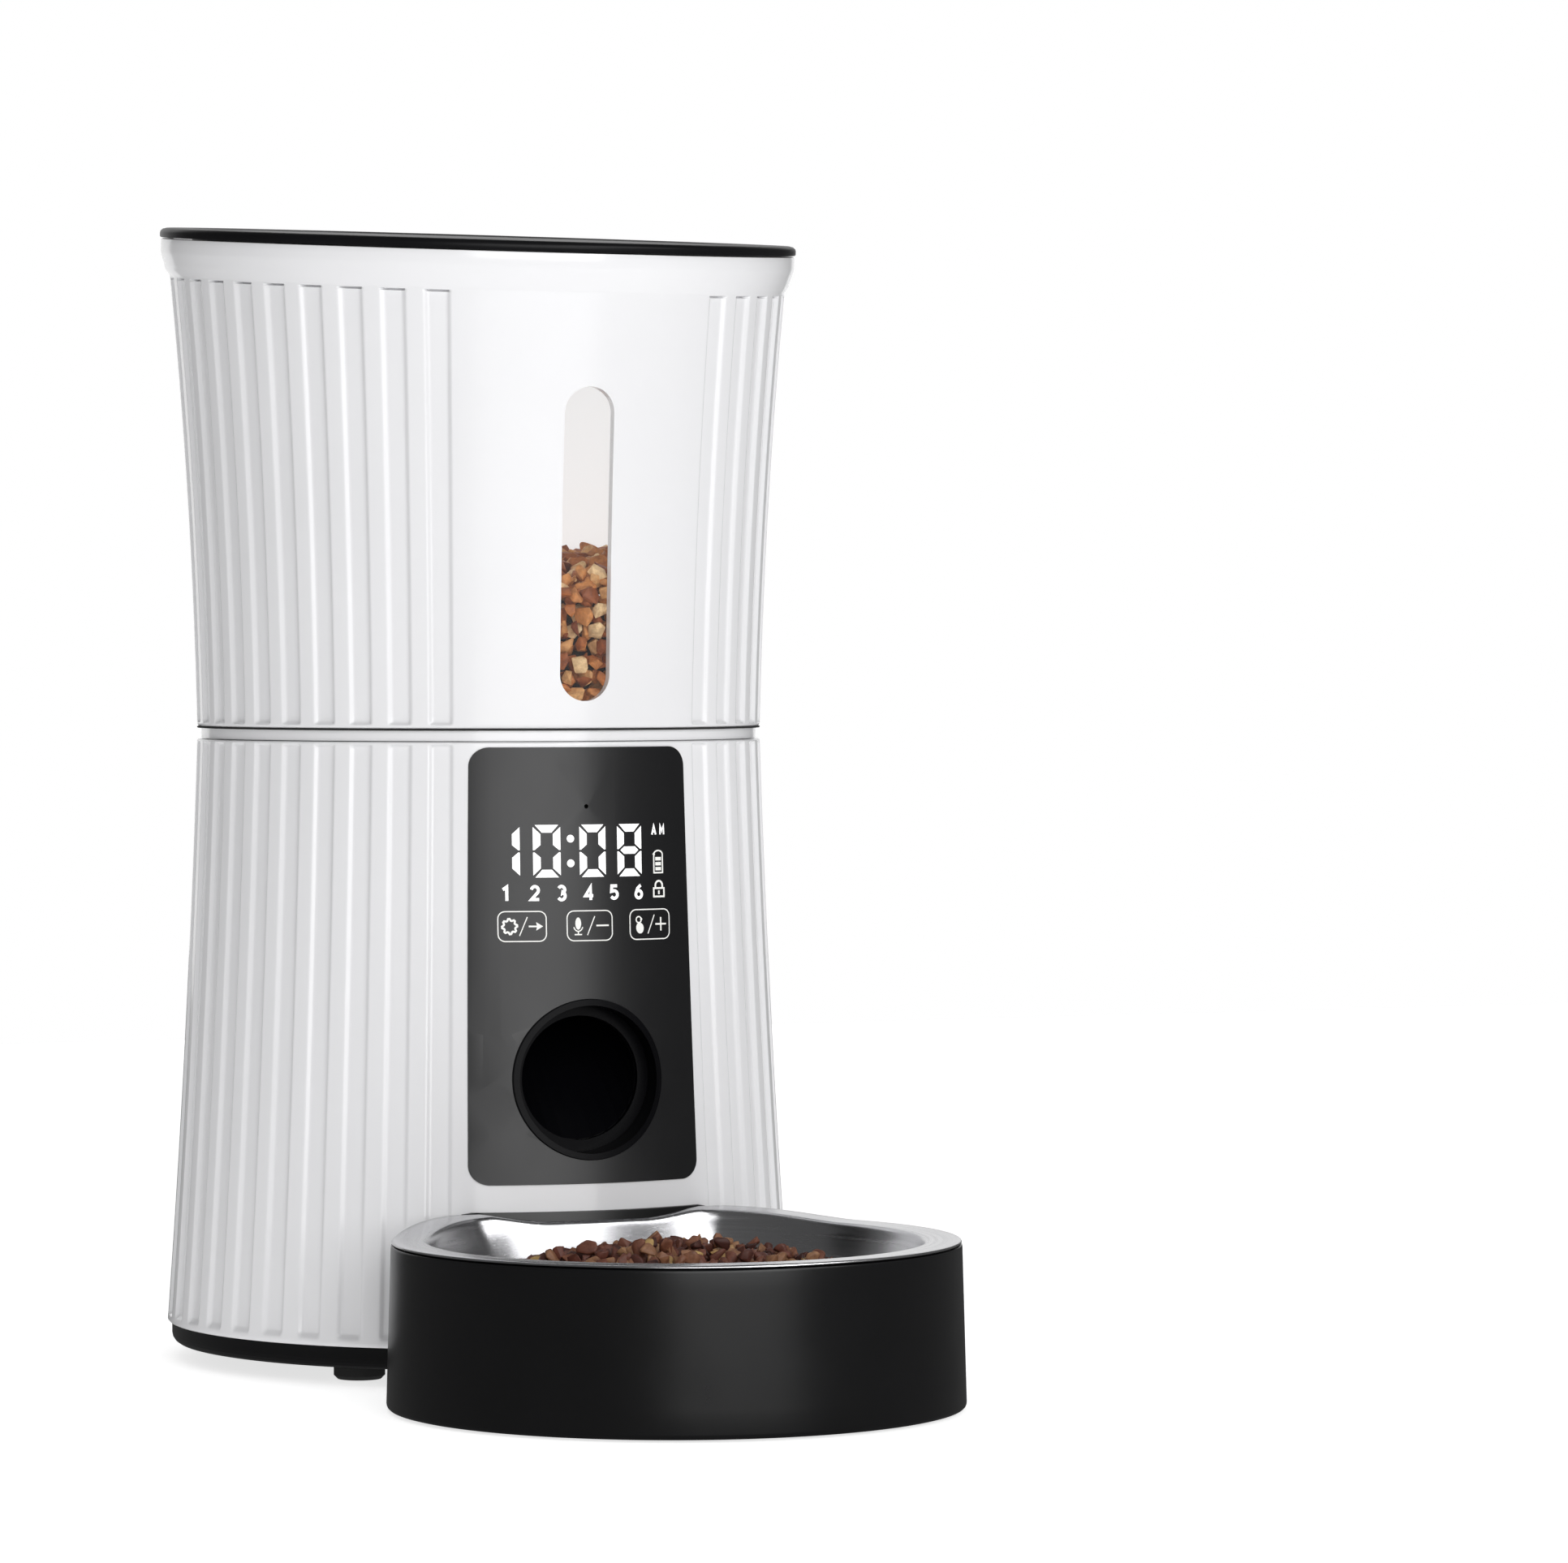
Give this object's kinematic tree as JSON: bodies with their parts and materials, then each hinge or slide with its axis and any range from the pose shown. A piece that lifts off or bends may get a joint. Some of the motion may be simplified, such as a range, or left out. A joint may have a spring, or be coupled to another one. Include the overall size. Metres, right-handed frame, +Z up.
{
  "type": "automatic pet feeder",
  "caption": "Automatic dry-food pet feeder: waisted round barrel with fluted sides, sloping lid, sight window, front display panel with outlet, and a stainless bowl in a drum holder.",
  "frame": {"origin": "on the floor, below the middle of the feeder and its bowl together", "axes": "+Z up along the barrel, -Y to the front where the bowl is, +X to the right seen from the front"},
  "size_m": [0.2038, 0.3513, 0.3666],
  "materials": {
    "white_gloss": "glossy white ABS",
    "lid_black": "glossy black ABS",
    "black_satin": "satin black ABS",
    "panel_black": "black glossy display panel",
    "inner_white": "matt light grey ABS",
    "inner_grey": "matt grey plastic",
    "clear_plastic": "clear polycarbonate",
    "steel": "brushed stainless steel",
    "rubber_black": "black rubber",
    "silicone": "translucent grey silicone",
    "gear_plastic": "natural acetal",
    "brass": "sintered bronze and brass",
    "motor_steel": "zinc plated steel",
    "circuit_green": "green solder mask",
    "part_dark": "dark moulded parts"
  },
  "bodies": {
    "base": {"food_chamber": "inner_white", "chamber_cover": "inner_white", "food_chute": "black_satin", "outlet_ring": "black_satin", "lower_shell": "white_gloss", "power_socket": "motor_steel", "top_deck": "white_gloss", "control_panel": "panel_black", "motor": "motor_steel", "gear_case": "inner_grey", "gear_cover": "inner_grey", "output_bushes": "brass", "gear_axles": "motor_steel", "shaft_seal": "silicone", "display_board": "circuit_green", "display_light_box": "inner_white", "touch_springs": "motor_steel", "microphone": "motor_steel", "speaker": "part_dark", "main_board": "circuit_green", "board_parts": "part_dark", "food_sensors": "part_dark", "base_plate": "black_satin", "rubber_feet": "rubber_black", "base_screws": "motor_steel", "battery_box": "inner_grey", "battery_contacts": "motor_steel", "gear_case_screws": "motor_steel", "motor_screws": "motor_steel", "deck_screws": "motor_steel"},
    "lid": {"lid": "lid_black", "lid_seal": "silicone", "desiccant_tray": "inner_white"},
    "desiccant_cap": {"desiccant_cap": "inner_white"},
    "hopper": {"hopper_shell": "white_gloss", "hopper_window": "clear_plastic", "hopper_funnel": "inner_white"},
    "rotor": {"rotor_wheel": "inner_white", "rotor_wipers": "silicone", "stirrer": "inner_white", "output_gear": "gear_plastic"},
    "idler_2": {"idler_gear_2": "gear_plastic"},
    "idler_1": {"idler_gear_1": "gear_plastic"},
    "motor_pinion": {"motor_pinion": "brass"},
    "battery_door": {"battery_door": "black_satin"},
    "bowl_holder": {"bowl_holder": "black_satin", "holder_feet": "rubber_black"},
    "steel_bowl": {"steel_bowl": "steel"}
  },
  "joints": [
    {"name": "hopper_lift", "type": "slide", "parent": "base", "child": "hopper", "axis": [0, 0, 1], "range_m": [0, 0.08]},
    {"name": "lid_lift", "type": "slide", "parent": "hopper", "child": "lid", "axis": [0, -0.075, 0.9972], "range_m": [0, 0.06]},
    {"name": "desiccant_twist", "type": "hinge", "parent": "lid", "child": "desiccant_cap", "pos_m": [0, 0.07395, 0.3557], "axis": [0, -0.075, 0.9972], "range_deg": [0, 30]},
    {"name": "rotor_spin", "type": "hinge", "parent": "base", "child": "rotor", "pos_m": [0, 0.07395, 0.15], "axis": [0, 0, 1], "continuous": true},
    {"name": "idler_2_spin", "type": "hinge", "parent": "base", "child": "idler_2", "pos_m": [0, 0.09555, 0.124], "axis": [0, 0, 1], "continuous": true},
    {"name": "idler_1_spin", "type": "hinge", "parent": "base", "child": "idler_1", "pos_m": [0.01871, 0.10635, 0.116], "axis": [0, 0, 1], "continuous": true},
    {"name": "pinion_spin", "type": "hinge", "parent": "base", "child": "motor_pinion", "pos_m": [0.02951, 0.08764, 0.112], "axis": [0, 0, 1], "continuous": true},
    {"name": "battery_door_slide", "type": "slide", "parent": "base", "child": "battery_door", "axis": [0, 1, 0], "range_m": [0, 0.09]},
    {"name": "holder_pull", "type": "slide", "parent": "base", "child": "bowl_holder", "axis": [0, -1, 0], "range_m": [0, 0.08]},
    {"name": "bowl_lift", "type": "slide", "parent": "bowl_holder", "child": "steel_bowl", "axis": [0, 0, 1], "range_m": [0, 0.06]}
  ],
  "couplings": [
    {"joint": "idler_2_spin", "follows": "rotor_spin", "ratio": -3.5},
    {"joint": "idler_1_spin", "follows": "rotor_spin", "ratio": 12.25},
    {"joint": "pinion_spin", "follows": "rotor_spin", "ratio": -42.875}
  ]
}
